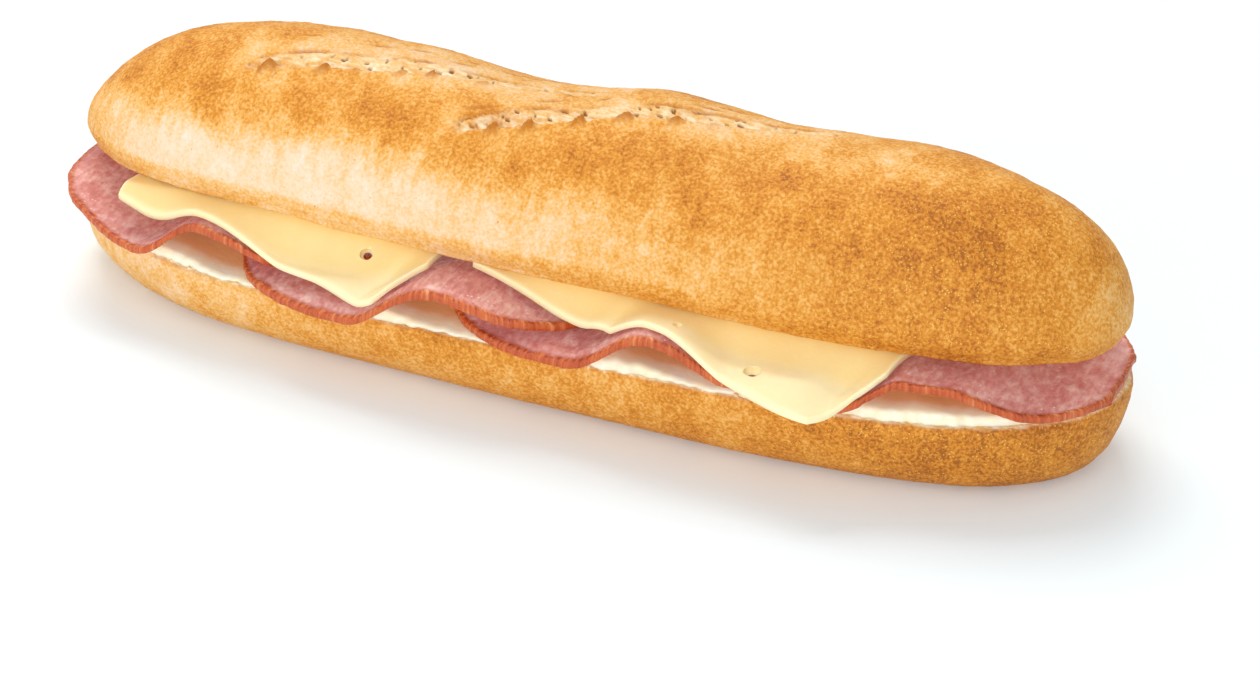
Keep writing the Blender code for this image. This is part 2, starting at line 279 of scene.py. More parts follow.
def ring_normals(grid):
    around = np.roll(grid, -1, axis=1) - np.roll(grid, 1, axis=1)
    along = np.gradient(grid, axis=0)
    normal = np.cross(around, along)
    folded = (-np.arange(grid.shape[1])) % grid.shape[1]
    for row in (0, -1):
        normal[row] = normal[row] + normal[row][folded]
    return normal / np.maximum(np.linalg.norm(normal, axis=-1, keepdims=True), 1e-12)


# ---- Loaf


def unit_outline(count):
    """Evenly spaced points of the loaf's outline in plan, scaled to a half-length and half-width of 1."""
    t = np.linspace(0, 2 * np.pi, 40001)
    x = np.sign(np.cos(t)) * np.abs(np.cos(t)) ** (2 / END_POWER)
    y = np.sin(t)
    steps = np.hypot(np.diff(x) * LOAF_LENGTH, np.diff(y) * BASE_WIDTH)
    run = np.concatenate([[0], np.cumsum(steps)])
    even = np.linspace(0, run[-1], count + 1)[:-1]
    return np.interp(even, run, x), np.interp(even, run, y)


def loaf_grid(length, width, inset, height):
    """Rings of the loaf, one for each inset and height."""
    x, y = unit_outline(LOAF_AROUND)
    grid = np.zeros((len(inset), LOAF_AROUND, 3))
    grid[..., 0] = (length / 2 - inset)[:, None] * x
    grid[..., 1] = (width / 2 - inset)[:, None] * y
    grid[..., 2] = height[:, None]
    return grid


def bowed(grid):
    out = grid.copy()
    out[..., 1] -= BOW * (1 - (grid[..., 0] / (LOAF_LENGTH / 2)) ** 2)
    return out


def cut_height(x):
    return BASE_HEIGHT + CUT_RISE * x


def crowned(grid):
    out = grid.copy()
    x, y, z = np.moveaxis(grid, -1, 0)
    above = np.maximum(z - TUCK_HEIGHT, 0)
    crown = smooth_step(0.5, 0.9, above / (TOP_HEIGHT - TUCK_HEIGHT))
    share = np.abs(x) / (TOP_LENGTH / 2)
    left = LEFT_DROOP * share**LEFT_DROOP_POWER
    out[..., 2] -= above * np.where(x < 0, left, RIGHT_DROOP * share**RIGHT_DROOP_POWER)
    for middle, width, height in CROWN_LUMPS:
        out[..., 2] += height * MM * crown * bell(middle * MM, width * MM, x)
    dip = 0.5 + 0.5 * np.cos(np.pi * np.clip((x - DIP_MIDDLE) / DIP_LENGTH, -1, 1))
    out[..., 2] -= DIP_DEPTH * dip * crown * smooth_step(-14 * MM, 4 * MM, y)
    return out


def along_rise(x):
    return TOP_ROLL * x - LEFT_SAG * smooth_step(SAG_START, -TOP_LENGTH / 2, x)


def tipped(grid):
    out = grid.copy()
    out[..., 0] += TOP_SHIFT_X
    y = grid[..., 1] - TOP_WIDTH / 2
    out[..., 1] = TOP_WIDTH / 2 + TOP_SHIFT + y * math.cos(TOP_TILT) + grid[..., 2] * math.sin(TOP_TILT)
    out[..., 2] = BASE_HEIGHT + BACK_GAP - y * math.sin(TOP_TILT) + grid[..., 2] * math.cos(TOP_TILT)
    out[..., 2] += along_rise(out[..., 0])
    return out


def under_height(x, y):
    """The cut face of the upper half."""
    return BASE_HEIGHT + BACK_GAP + along_rise(x) + (TOP_WIDTH / 2 + TOP_SHIFT - y) * math.tan(TOP_TILT)


def crust_relief(points):
    """Lumps, blisters and grain of a baked crust, outwards from its surface."""
    lumps = 0.55 * MM * noise(points, 34 * MM, 1) + 0.28 * MM * noise(points, 13 * MM, 2)
    dents = 0.13 * MM * rough(points, 5 * MM, 3, 2)
    wrinkles = 0.06 * MM * noise(points, (1.5 * MM, 7 * MM, 7 * MM), 5)
    grain = 0.07 * MM * rough(points, 1.5 * MM, 6, 2)
    return lumps + dents + wrinkles + grain


def crumb_relief(points):
    """The open crumb of a cut face: pits of uneven size in a soft surface."""
    pits = np.maximum(noise(points, 3.4 * MM, 21) - 0.25, 0)
    pits = pits + np.maximum(noise(points, 1.7 * MM, 22) - 0.2, 0)
    return -1.1 * MM * pits + 0.12 * MM * noise(points, 1 * MM, 23)


# Each score in plan: its start, a point it passes and its end, and its half-width, all in mm
SCORES = (
    ((-82, -14.5), (-45, -5.8), (5, 2.6), 3.3),
    ((-26, -20.5), (11, -6.8), (61, 6.3), 3.1),
)


def score_frame(score, x, y):
    """Where plan points are in a score: the share along it, and the distance across, positive to the back."""
    (x0, y0), (x1, y1), (x2, y2) = (np.array(point) * MM for point in score[:3])
    middle = y0 * (x - x1) * (x - x2) / ((x0 - x1) * (x0 - x2))
    middle = middle + y1 * (x - x0) * (x - x2) / ((x1 - x0) * (x1 - x2))
    middle = middle + y2 * (x - x0) * (x - x1) / ((x2 - x0) * (x2 - x1))
    slope = (y2 - y0) / (x2 - x0)
    return (x - x0) / (x2 - x0), (y - middle) / math.hypot(1, slope)


def score_relief(points):
    """Height, torn crumb, browned tips and pits of the scores at points of the crown.

    The front lip is a torn edge with a few browned teeth over a trough, which climbs to a fold at its far
    side. Behind the scores are short creases.
    """
    x, y = points[..., 0], points[..., 1]
    height = np.zeros(x.shape)
    torn = np.zeros(x.shape)
    tips = np.zeros(x.shape)
    pits = np.zeros(x.shape)
    for order, score in enumerate(SCORES):
        share, across = score_frame(score, x, y)
        length = (score[2][0] - score[0][0]) * MM
        here = np.clip(share, 0, 1)
        half = score[3] * MM * (4 * here * (1 - here)) ** 0.35
        line = np.stack([x, np.zeros(x.shape), np.zeros(x.shape)], axis=-1)
        waver = 0.6 * MM * noise(line, 6 * MM, 31 + order) + 0.3 * MM * noise(line, 1.9 * MM, 33 + order)
        beat = share * length / TOOTH_GAP + 0.45 * noise(line, 14 * MM, 35 + order)
        tooth = np.maximum(1 - np.abs(beat - np.round(beat)) * TOOTH_GAP / TOOTH_HALF_WIDTH, 0)
        lively = smooth_step(-0.7, 0.5, noise(line, 7 * MM, 37 + order)) * smooth_step(0.8, 0.45, share)
        reach = TOOTH_REACH * tooth * lively
        lip = -half + waver * (half > 1 * MM) + reach
        far = half + 0.5 * MM * noise(line, 9 * MM, 39 + order)
        run = np.clip((across - lip) / np.maximum(far - lip, 0.3 * MM), -1, 2)
        ends = smooth_step(0, 0.04, share) * smooth_step(1, 0.9, share)
        inside = smooth_step(-0.03, 0.05, run) * smooth_step(1.05, 0.93, run) * ends
        strands = rough(points, (3.2 * MM, 0.8 * MM, 2 * MM), 41 + order, 3)
        floor = -TROUGH_DEPTH * (1 - np.clip(run, 0, 1)) ** 1.3 + 0.34 * MM * strands
        edge = 0.5 * MM * bell(lip - 0.8 * MM, 1.1 * MM, across) * ends
        peak = TOOTH_RISE * tooth * lively * bell(lip - 0.6 * MM, 1.2 * MM, across) * ends
        broken = smooth_step(-0.25, 0.25, noise(line, 8 * MM, 43 + order)) * ends
        fold = -FOLD_DEPTH * bell(far, 0.4 * MM, across) * broken
        height = height + inside * floor + (1 - inside) * edge + peak + fold
        patchy = smooth_step(-0.5, 0.35, rough(points, (3.4 * MM, 1.1 * MM, 2 * MM), 47 + order, 2))
        torn = np.maximum(torn, inside * (0.3 + 0.7 * smooth_step(1.0, 0.35, run) * patchy))
        browned = np.minimum(2 * np.sqrt(tooth) * lively, 1)
        browned = browned * bell(lip - 0.9 * MM, 1.3 * MM, across) * ends
        tips = np.maximum(tips, np.maximum(browned, bell(far, 0.45 * MM, across) * broken))
        holes = smooth_step(0.36, 0.48, noise(points, (1.7 * MM, 1.0 * MM, 1.3 * MM), 45 + order))
        holes = holes * inside * smooth_step(0.1, 0.45, run)
        height = height - PIT_DEPTH * holes
        pits = np.maximum(pits, holes)
    marks = fold_marks(x, y)
    return height - MARK_DEPTH * marks, torn, np.maximum(tips, 0.85 * marks), pits


def fold_marks(x, y):
    """Short browned creases behind the scores, which slant back to the +X end."""
    marks = np.zeros(x.shape)
    draw = np.random.default_rng(61)
    for score in SCORES:
        for _ in range(MARKS_PER_SCORE):
            share, back = draw.uniform(0.05, 0.8), draw.uniform(0.5, 9.5) * MM
            slant, length = draw.uniform(0.15, 0.6), draw.uniform(1.2, 3.2) * MM
            middle_x = (score[0][0] + share * (score[2][0] - score[0][0])) * MM
            middle_y = (score[0][1] + share * (score[2][1] - score[0][1])) * MM + score[3] * MM + back
            along = (x - middle_x) * math.cos(slant) + (y - middle_y) * math.sin(slant)
            across = (y - middle_y) * math.cos(slant) - (x - middle_x) * math.sin(slant)
            strength = draw.uniform(0.8, 1.8)
            mark = strength * bell(0, length, along) * bell(0, MARK_WIDTH, across)
            marks = np.maximum(marks, np.minimum(mark, 1))
    return marks


def along_mix(x, *stops):
    """A value given at places along the loaf, in mm, and even between them."""
    places, values = zip(*stops)
    return np.interp(x, np.array(places) * MM, values)


def toast_top(x, angle, points):
    """How brown the upper crust is: a pale flank, partly a lighter bake and partly a painted highlight,
    golden shoulders, a crown made paler in part as painted light, and browner to the +X end.
    """
    base = along_mix(x, (-130, 0.74), (-104, 0.64), (0, 0.66), (60, 0.76), (96, 0.8), (116, 0.7), (130, 0.5))
    flank = along_mix(
        x, (-130, 0.16), (-108, 0.4), (-50, 0.47), (0, 0.34), (50, 0.2), (80, 0.04), (130, 0.02)
    )
    crown = along_mix(x, (-130, -0.14), (-80, 0.0), (-50, 0.17), (60, 0.22), (100, 0.14), (130, 0.12))
    waver = 0.07 * rough(points, (12 * MM, 12 * MM, 12 * MM), 57, 2)
    # pale: the flank's lighter bake together with a painted highlight of the broad front light
    pale = smooth_step(*PALE_START, angle) * smooth_step(*PALE_END, angle + waver)
    # crown: paler behind the scores, partly painted light making up for light that falls on it at a low angle
    toast = base - flank * pale - crown * smooth_step(*CROWN_START, angle)
    patches = 0.1 * noise(points, 24 * MM, 51) + 0.18 * rough(points, (8 * MM, 10 * MM, 10 * MM), 52, 3)
    patches = patches * (1 - 0.55 * pale)
    streaks = noise(points, (1.1 * MM, 8 * MM, 8 * MM), 55) * bell(0.3, 0.22, angle)
    slant = points @ np.array([[1, 0, 0], [0.9, 1, 0], [0, 0, 1]])
    wrinkles = noise(slant, (1.3 * MM, 7 * MM, 7 * MM), 56) * smooth_step(0.5, 0.8, angle)
    return toast + patches + 0.12 * streaks + 0.08 * wrinkles


def toast_bottom(x, height, points):
    """How brown the lower crust is."""
    base = along_mix(x, (-130, 0.36), (-90, 0.43), (-30, 0.62), (40, 0.68), (100, 0.82), (130, 0.76))
    toast = base + 0.12 * smooth_step(6 * MM, 0, height) + 0.1 * noise(points, 24 * MM, 61)
    streaks = noise(points, (1.3 * MM, 7 * MM, 7 * MM), 65) * bell(12 * MM, 6 * MM, height)
    return toast + 0.13 * rough(points, 8 * MM, 62, 3) + 0.1 * streaks


def add_top():
    """The upper half, from the line down the middle of its cut face to the line along its crown."""
    cut = np.linspace(TOP_WIDTH / 2, TUCK_INSET + CUT_EDGE, 16)
    share = np.linspace(0, 1, 6)[1:]
    tuck = np.linspace(0, 1, 8)[:-1]
    angle = np.linspace(0, 1, 78)
    rise = TOP_HEIGHT - TUCK_HEIGHT
    inset = np.concatenate([
        cut,
        TUCK_INSET + CUT_EDGE * (1 - np.sin(share * math.pi / 2)),
        TUCK_INSET * (1 - np.sin(tuck[1:] * math.pi / 2)),
        TOP_WIDTH / 2 * (1 - np.cos(angle * math.pi / 2)),
    ])
    height = np.concatenate([
        cut * 0,
        CUT_EDGE * (1 - np.cos(share * math.pi / 2)),
        CUT_EDGE + (TUCK_HEIGHT - CUT_EDGE) * tuck[1:],
        TUCK_HEIGHT + rise * np.sin(angle * math.pi / 2),
    ])
    rows = len(inset)
    angles = np.concatenate([np.zeros(rows - len(angle)), angle])[:, None] * np.ones(LOAF_AROUND)
    flat = loaf_grid(TOP_LENGTH, TOP_WIDTH, inset, height)
    grid = tipped(bowed(crowned(flat)))
    normal = ring_normals(grid)
    on_cut = (np.arange(rows) < len(cut) + 1)[:, None] * np.ones(LOAF_AROUND)
    crust = 1 - on_cut
    rim = bell(0.06, 0.09, angles) * smooth_step(-20 * MM, 90 * MM, grid[..., 0])
    rim_lumps = 0.45 * MM * rim * noise(grid, (5.5 * MM, 9 * MM, 9 * MM), 8)
    lift, torn, tips, pits = (value * smooth_step(*SCORED, angles) for value in score_relief(flat))
    relief = crust * (crust_relief(grid) + rim_lumps) * (1 - 0.7 * torn) + on_cut * crumb_relief(grid) + lift
    toast = toast_top(grid[..., 0], angles, grid)
    near_score = smooth_step(7 * MM, 2 * MM, nearest_score(flat)) * smooth_step(*SCORED, angles)
    toast = toast - 0.1 * near_score * (1 - torn)
    grid = grid + normal * relief[..., None]
    values = {
        "toast": toast.ravel(),
        "crumb": np.maximum(torn, on_cut).ravel(),
        "tips": tips.ravel(),
        "pits": pits.ravel(),
    }
    quads = ring_quads(rows, LOAF_AROUND)[:, ::-1]
    piece = make_mesh("crust_top", grid.reshape(-1, 3), quads, values, CRUST)
    stand_for(piece, "bread_top")


def nearest_score(points):
    """How far plan points are from the nearer score's edge, along its length."""
    nearest = np.full(points.shape[:-1], 1.0)
    for score in SCORES:
        share, across = score_frame(score, points[..., 0], points[..., 1])
        past = np.maximum(np.maximum(-share, share - 1), 0) * (score[2][0] - score[0][0]) * MM
        nearest = np.minimum(nearest, np.hypot(np.maximum(np.abs(across) - score[3] * MM, 0), past))
    return nearest


def add_bottom():
    """The lower half, from the line down the middle of its underside to the line along its cut face."""
    under = np.linspace(BASE_WIDTH / 2, BASE_INSET, 14)
    side = np.linspace(0, 1, 44)[1:]
    edge = np.linspace(0, 1, 6)[1:]
    cut = np.linspace(CUT_EDGE, BASE_WIDTH / 2, 26)[1:]
    rise = BASE_HEIGHT - CUT_EDGE
    inset = np.concatenate([
        under,
        BASE_INSET * (1 - np.sin(side * math.pi / 2)),
        CUT_EDGE * (1 - np.cos(edge * math.pi / 2)),
        cut,
    ])
    height = np.concatenate([
        under * 0,
        rise * (1 - np.cos(side * math.pi / 2)),
        rise + CUT_EDGE * np.sin(edge * math.pi / 2),
        cut * 0 + BASE_HEIGHT,
    ])
    rows = len(inset)
    grid = loaf_grid(LOAF_LENGTH, BASE_WIDTH, inset, height)
    grid[..., 2] *= cut_height(grid[..., 0]) / BASE_HEIGHT
    grid = bowed(grid)
    normal = ring_normals(grid)
    order = np.arange(rows)[:, None] * np.ones(LOAF_AROUND)
    first_cut = len(under) + len(side) + 2
    on_cut = smooth_step(first_cut - 1, first_cut + 1.5, order + 1.2 * noise(grid, 4 * MM, 71))
    off_floor = smooth_step(0, 3 * MM, grid[..., 2])
    relief = off_floor * (1 - on_cut) * crust_relief(grid) + on_cut * 0.6 * crumb_relief(grid)
    ragged = on_cut * smooth_step(first_cut + 6, first_cut, order) * 0.4 * MM * rough(grid, 2.2 * MM, 72, 2)
    toast = toast_bottom(grid[..., 0], grid[..., 2], grid)
    grid = grid + normal * (relief + ragged)[..., None]
    grid[..., 2] = np.maximum(grid[..., 2], 0)
    zero = np.zeros(rows * LOAF_AROUND)
    values = {"toast": toast.ravel(), "crumb": on_cut.ravel(), "tips": zero, "pits": zero}
    quads = ring_quads(rows, LOAF_AROUND)[:, ::-1]
    piece = make_mesh("crust_bottom", grid.reshape(-1, 3), quads, values, CRUST)
    stand_for(piece, "bread_bottom")


# ---- Filling


def round_norm(x, y, power):
    return (np.abs(x) ** power + np.abs(y) ** power) ** (1 / power)


def ham_radius(name, x, y):
    middle_x, middle_y = HAM[name][0] * MM, HAM[name][1] * MM
    return round_norm((x - middle_x) / (HAM_LENGTH / 2), (y - middle_y) / (HAM_DEPTH / 2), HAM_POWER)


def ham_wave(name, x, y):
    crest, height, left, right = (value * MM for value in HAM[name][2:])
    run = np.where(x < crest, left, right)
    rise = 0.5 + 0.5 * np.cos(np.pi * np.clip((x - crest) / run, -1, 1))
    curl = LEFT_CURL * smooth_step(LEFT_CURL_START, -LOAF_LENGTH / 2, x)
    curl = curl + RIGHT_CURL * smooth_step(RIGHT_CURL_START, LOAF_LENGTH / 2, x)
    return height * rise * (1 - smooth_step(-14 * MM, 22 * MM, y)) + curl


def on_slice(name, x, y, near=0.06, far=0.3):
    return 1 - smooth_step(near, far, ham_radius(name, x, y) - 1)


def stack_step(y):
    return HAM_THICKNESS * (1 + STEEPNESS * (1 - smooth_step(-14 * MM, 22 * MM, y))) + 1.5 * CLEARANCE


def flat_noise(x, y, size, seed):
    return noise(np.stack([x, y, np.zeros(x.shape)], axis=-1), size, seed)


def ham_height(name, x, y):
    """The middle of a ham slice's thickness, with a slight unevenness that the layers share."""
    names = sorted(HAM)
    place = names.index(name)
    rest = cut_height(x) + SPREAD_LEAST + 4 * CLEARANCE + HAM_THICKNESS / 2
    rest = rest - RIM_DROP * np.maximum(FRONT_RIM - y, 0) + 0.3 * MM * flat_noise(x, y, 16 * MM, 81)
    ceiling = under_height(x, y) - 10 * CLEARANCE - CHEESE_THICKNESS - HAM_THICKNESS / 2
    for upper in names[:place][-1:]:
        ceiling = ceiling - stack_step(y) * on_slice(upper, x, y)
    height = soft_min(rest + ham_wave(name, x, y), ceiling, 0.3 * MM)
    for lower in names[place + 1 :][:1]:
        over = ham_height(lower, x, y) + stack_step(y)
        height = height + on_slice(lower, x, y) * (soft_max(height, over) - height)
    return height


def ham_top(x, y):
    highest = cut_height(x) + SPREAD_THICKNESS
    for name in HAM:
        top = ham_height(name, x, y) + stack_step(y) - CLEARANCE - HAM_THICKNESS / 2
        highest = highest + on_slice(name, x, y) * (soft_max(highest, top, 0.3 * MM) - highest)
    return highest


def cheese_height(x, y):
    under_top_half = under_height(x, y) - 3 * CLEARANCE - CHEESE_THICKNESS / 2
    lying = ham_top(x, y) + CLEARANCE + CHEESE_THICKNESS / 2
    in_front = smooth_step(-DRAPE_INSIDE, DRAPE_OUTSIDE, TOP_RIM - y)
    return soft_max(lying, under_top_half + in_front * (lying - under_top_half), 0.3 * MM)


def edge_steps(count, size, rows=(0.0, 0.12, 0.35, 0.7, 1.1, 1.6)):
    """Places from -1 to 1 across a slice of this size, even inside and crowded towards both edges."""
    near = np.array(rows) * MM / (size / 2)
    inner = np.linspace(-1 + near[-1] * 1.6, 1 - near[-1] * 1.6, count)
    return np.concatenate([-1 + near, inner, 1 - near[::-1]])


def border(u, v, long, wide):
    """How far inside a slice's edge a point is, in metres."""
    return np.minimum((1 - np.abs(u)) * long / 2, (1 - np.abs(v)) * wide / 2)


def sheet_quads(columns, rows):
    """Quads of a body of two grids, the upper one first, closed round the edge."""
    number = np.arange(columns * rows).reshape(columns, rows)
    corners = [number[:-1, :-1], number[1:, :-1], number[1:, 1:], number[:-1, 1:]]
    top = np.stack(corners, axis=-1).reshape(-1, 4)
    below = top[:, ::-1] + columns * rows
    rim = np.concatenate([number[:, 0], number[-1, 1:], number[-2::-1, -1], number[0, -2:0:-1]])
    after = np.roll(rim, -1)
    side = np.stack([rim, rim + columns * rows, after + columns * rows, after], axis=-1)
    return np.concatenate([top, below, side])


def two_sides(x, y, middle, half):
    upper = np.stack([x, y, middle + half], axis=-1).reshape(-1, 3)
    lower = np.stack([x, y, middle - half], axis=-1).reshape(-1, 3)
    return np.concatenate([upper, lower])


def round_edge(inside, radius, least):
    """The share of full thickness at a distance inside the edge: a quarter round of this radius."""
    share = np.clip(inside / radius, 0, 1)
    return least + (1 - least) * np.sqrt(1 - (1 - share) ** 2)


def trimmed(name, x):
    """The share of a slice's depth that stays where its end follows the rim of the lower half."""
    far = np.abs(x) / (LOAF_LENGTH / 2 + RIM_OVERHANG)
    rim = (BASE_WIDTH / 2 + RIM_OVERHANG) * np.sqrt(np.maximum(1 - far**END_POWER, 0))
    along = np.minimum(np.abs(x - HAM[name][0] * MM) / (HAM_LENGTH / 2), 1)
    deep = HAM_DEPTH / 2 * (1 - along**HAM_POWER) ** (1 / HAM_POWER)
    return np.where(x > TRIM_START, np.minimum(1, rim / np.maximum(deep, 1 * MM)), 1)


def add_ham(name, seed):
    u, v = np.meshgrid(
        edge_steps(HAM_GRID[0], HAM_LENGTH), edge_steps(HAM_GRID[1], HAM_DEPTH), indexing="ij"
    )
    scale = np.maximum(np.abs(u), np.abs(v)) / np.maximum(round_norm(u, v, HAM_POWER), 1e-9)
    inside = border(u, v, HAM_LENGTH, HAM_DEPTH)
    x = HAM[name][0] * MM + HAM_LENGTH / 2 * u * scale
    y = HAM[name][1] * MM + HAM_DEPTH / 2 * v * scale
    crest, run = HAM[name][2] * MM, HAM[name][5] * MM
    tail = TAIL_TUCK[name] * smooth_step(crest + TAIL_START * run, crest + run, x)
    y = y + smooth_step(0, -25 * MM, y) * (HAM_RETREAT * ham_wave(name, x, y) + tail)
    y = y * trimmed(name, x)
    ragged = 0.55 * flat_noise(x, y, 7 * MM, 91 + seed) + 0.3 * flat_noise(x, y, 1.5 * MM, 95 + seed)
    near_edge = smooth_step(3 * MM, 0, inside)
    middle_x, middle_y = HAM[name][0] * MM, HAM[name][1] * MM
    away = np.hypot(x - middle_x, y - middle_y)
    push = ragged * MM * near_edge / np.maximum(away, 1 * MM)
    x, y = x + (x - middle_x) * push, y + (y - middle_y) * push
    half = HAM_THICKNESS / 2 * round_edge(inside, 0.8 * MM, 0.55)
    half = half * (1 + 0.08 * flat_noise(x, y, 5 * MM, 99 + seed))
    half = half + 0.03 * MM * flat_noise(x, y, 1.1 * MM, 103)
    points = two_sides(x, y, ham_height(name, x, y), half)
    rind = smooth_step(RIND[1], RIND[0], inside + 0.4 * MM * flat_noise(x, y, 1.6 * MM, 107 + seed))
    turn = np.arctan2(v, u) * (HAM_LENGTH + HAM_DEPTH) / 4
    values = {
        "rind": np.tile(rind.ravel(), 2),
        "inside": np.tile(inside.ravel(), 2),
        "turn": np.tile(turn.ravel(), 2),
    }
    piece = make_mesh(name + "_meat", points, sheet_quads(*x.shape), values, HAM_FINISH)
    stand_for(piece, name)


# Each hole: the slice, its place in mm, its radius in mm
HOLES = (
    ("cheese_slice_1", (-42.3, -30.3), 1.3),
    ("cheese_slice_2", (36.0, -35.2), 0.8),
    ("cheese_slice_2", (55.3, -38.4), 1.6),
)


def add_cheese(name, seed):
    left, front, depth, drag = CHEESE[name]
    left, front = np.array(left) * MM, np.array(front) * MM
    along = front - left
    back = np.array([-along[1], along[0]]) / np.hypot(*along) * depth * MM
    long, wide = np.hypot(*along), depth * MM
    u, v = np.meshgrid(
        edge_steps(CHEESE_GRID[0], long), edge_steps(CHEESE_GRID[1], wide), indexing="ij"
    )
    inside = border(u, v, long, wide)
    corner = 1 - 0.012 * (np.abs(u) * np.abs(v)) ** 12
    share_u, share_v = (1 + u * corner) / 2, (1 + v * corner) / 2
    x = left[0] + along[0] * share_u + back[0] * share_v
    y = left[1] + along[1] * share_u + back[1] * share_v
    hanging = np.clip((TOP_RIM - y) / (TOP_RIM - front[1]), 0, 1)
    x = x + drag * MM * hanging * smooth_step(0, 1, share_u)
    half = CHEESE_THICKNESS / 2 * round_edge(inside, 0.35 * MM, 0.75)
    half = half + 0.02 * MM * flat_noise(x, y, 2 * MM, 111 + seed)
    points = two_sides(x, y, cheese_height(x, y), half)
    values = {
        "edge": np.tile(smooth_step(1.3 * MM, 0.1 * MM, inside).ravel(), 2),
        # under_top_half also masks a painted shade: a deeper yellow where the cheese goes in under the top
        # half's rim
        "under_top_half": np.tile(smooth_step(3.5 * MM, -0.5 * MM, TOP_RIM - y).ravel(), 2),
    }
    piece = make_mesh(name + "_curd", points, sheet_quads(*x.shape), values, CHEESE_FINISH)
    for slice_name, place, radius in HOLES:
        if slice_name == name:
            bore(piece, np.array(place) * MM, radius * MM)
    stand_for(piece, name)


def bore(piece, place, radius):
    """Cuts a rounded hollow, a little longer than wide, into a slice's top; a wide one goes right through."""
    height = float(cheese_height(np.array([place[0]]), np.array([place[1]]))[0])
    bpy.ops.mesh.primitive_uv_sphere_add(segments=32, ring_count=16, radius=radius)
    cutter = bpy.context.object
    centre = Vector((place[0] + SHIFT[0], place[1] + SHIFT[1], height + CHEESE_THICKNESS * HOLE_RISE))
    stretch = Matrix.Diagonal((*HOLE_STRETCH, 1.0))
    cutter.matrix_world = Matrix.Translation(centre) @ stretch
    cut = piece.modifiers.new("hole", "BOOLEAN")
    cut.operation = "DIFFERENCE"
    cut.object = cutter
    bpy.context.view_layer.update()
    graph = bpy.context.evaluated_depsgraph_get()
    mesh = bpy.data.meshes.new_from_object(piece.evaluated_get(graph))
    piece.modifiers.clear()
    piece.data = mesh
    bpy.data.objects.remove(cutter)


def spread_lid(x, y):
    """The top of the spread: full and uneven where it shows, and squeezed thin under the ham."""
    lid = cut_height(x) + CLEARANCE + SPREAD_THICKNESS
    lid = lid + 0.5 * MM * flat_noise(x, y, 9 * MM, 121) + 0.2 * MM * flat_noise(x, y, 3.5 * MM, 122)
    for name in HAM:
        least = ham_height(name, x, y) - HAM_THICKNESS / 2 - CLEARANCE
        lid = lid + on_slice(name, x, y, 0.1, 0.35) * (soft_min(lid, least, 0.1 * MM) - lid)
    return lid


def add_spread():
    """The spread, with a soft uneven edge just inside the crust."""
    angles = np.linspace(-np.pi / 2, np.pi / 2, SPREAD_GRID[0])
    along = np.sin(angles) * 0.35 + angles / np.pi * 1.3
    u, v = np.meshgrid(along, edge_steps(SPREAD_GRID[1], BASE_WIDTH), indexing="ij")
    x = (LOAF_LENGTH / 2 - 2 * MM) * u
    inset = 0.9 * MM + 0.6 * MM * flat_noise(x, np.sign(v), 9 * MM, 123)
    inset = np.maximum(inset + 0.9 * MM * flat_noise(x, np.sign(v), 2.6 * MM, 124), 0.15 * MM)
    outline = np.sqrt(np.maximum(1 - np.abs(u) ** END_POWER, 0))
    y = np.maximum(BASE_WIDTH / 2 - inset, 0) * outline * v - BOW * (1 - u**2)
    inside = np.minimum((1 - np.abs(v)) * BASE_WIDTH / 2, (1 - np.abs(u)) * LOAF_LENGTH / 2)
    bed = cut_height(x) - 0.1 * MM
    lid = bed + (spread_lid(x, y) - bed) * round_edge(inside, 1.6 * MM, 0.15)
    points = two_sides(x, y, (lid + bed) / 2, (lid - bed) / 2)
    # deep also masks a painted shade: the spread turns orange deeper in under the ham, like shade with light
    # reflected from the ham
    deep = smooth_step(2.5 * MM, 7.5 * MM, inside)
    values = {"deep": np.tile(deep.ravel(), 2)}
    piece = make_mesh("spread_cream", points, sheet_quads(*x.shape), values, SPREAD_FINISH)
    stand_for(piece, "spread_layer")


def add_crumbs():
    """Loose crumbs along the front rim of the lower half, as one joined mesh."""
    draw = np.random.default_rng(7)
    turns, falls = np.linspace(0, 2 * np.pi, 13)[:-1], np.linspace(0.08, np.pi - 0.08, 7)
    u, v = np.meshgrid(turns, falls, indexing="ij")
    ball = np.stack([np.cos(u) * np.sin(v), np.sin(u) * np.sin(v), np.cos(v)], axis=-1)
    number = np.arange(ball.shape[0] * ball.shape[1]).reshape(ball.shape[:2])
    after = np.roll(number, -1, axis=0)
    corners = [number[:, :-1], number[:, 1:], after[:, 1:], after[:, :-1]]
    one = np.stack(corners, axis=-1).reshape(-1, 4)
    points, quads = [], []
    for index in range(CRUMB_COUNT):
        x = draw.choice(CRUMB_PLACES) * MM + draw.normal(0, CRUMB_SCATTER) * MM
        inset = draw.uniform(0.2, 3.2) * MM
        outline = np.sqrt(max(1 - abs(x / (LOAF_LENGTH / 2)) ** END_POWER, 0))
        y = -(BASE_WIDTH / 2 - inset) * outline - BOW * (1 - (x / (LOAF_LENGTH / 2)) ** 2)
        size = draw.uniform(0.22, 0.62) * MM
        shape = ball * size * draw.uniform(0.7, 1.3, 3)
        shape = shape * (1 + 0.35 * noise(ball + index, 0.7, 131)[..., None])
        z = cut_height(x) + 0.3 * size - 0.5 * MM * (inset < 0.8 * MM)
        points.append(shape.reshape(-1, 3) + np.array([x, y, z]))
        quads.append(one + index * number.size)
    points = np.concatenate(points)
    values = {key: np.zeros(len(points)) + level for key, level in CRUMB_VALUES.items()}
    piece = make_mesh("rim_crumbs", points, np.concatenate(quads), values, CRUST)
    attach(piece, "root")


# ---- Materials


def linear(red, green, blue):
    """A colour given as on a screen, 0 to 255, in the scene's linear values."""
    values = np.array([red, green, blue]) / 255
    return (*np.where(values <= 0.04045, values / 12.92, ((values + 0.055) / 1.055) ** 2.4), 1)


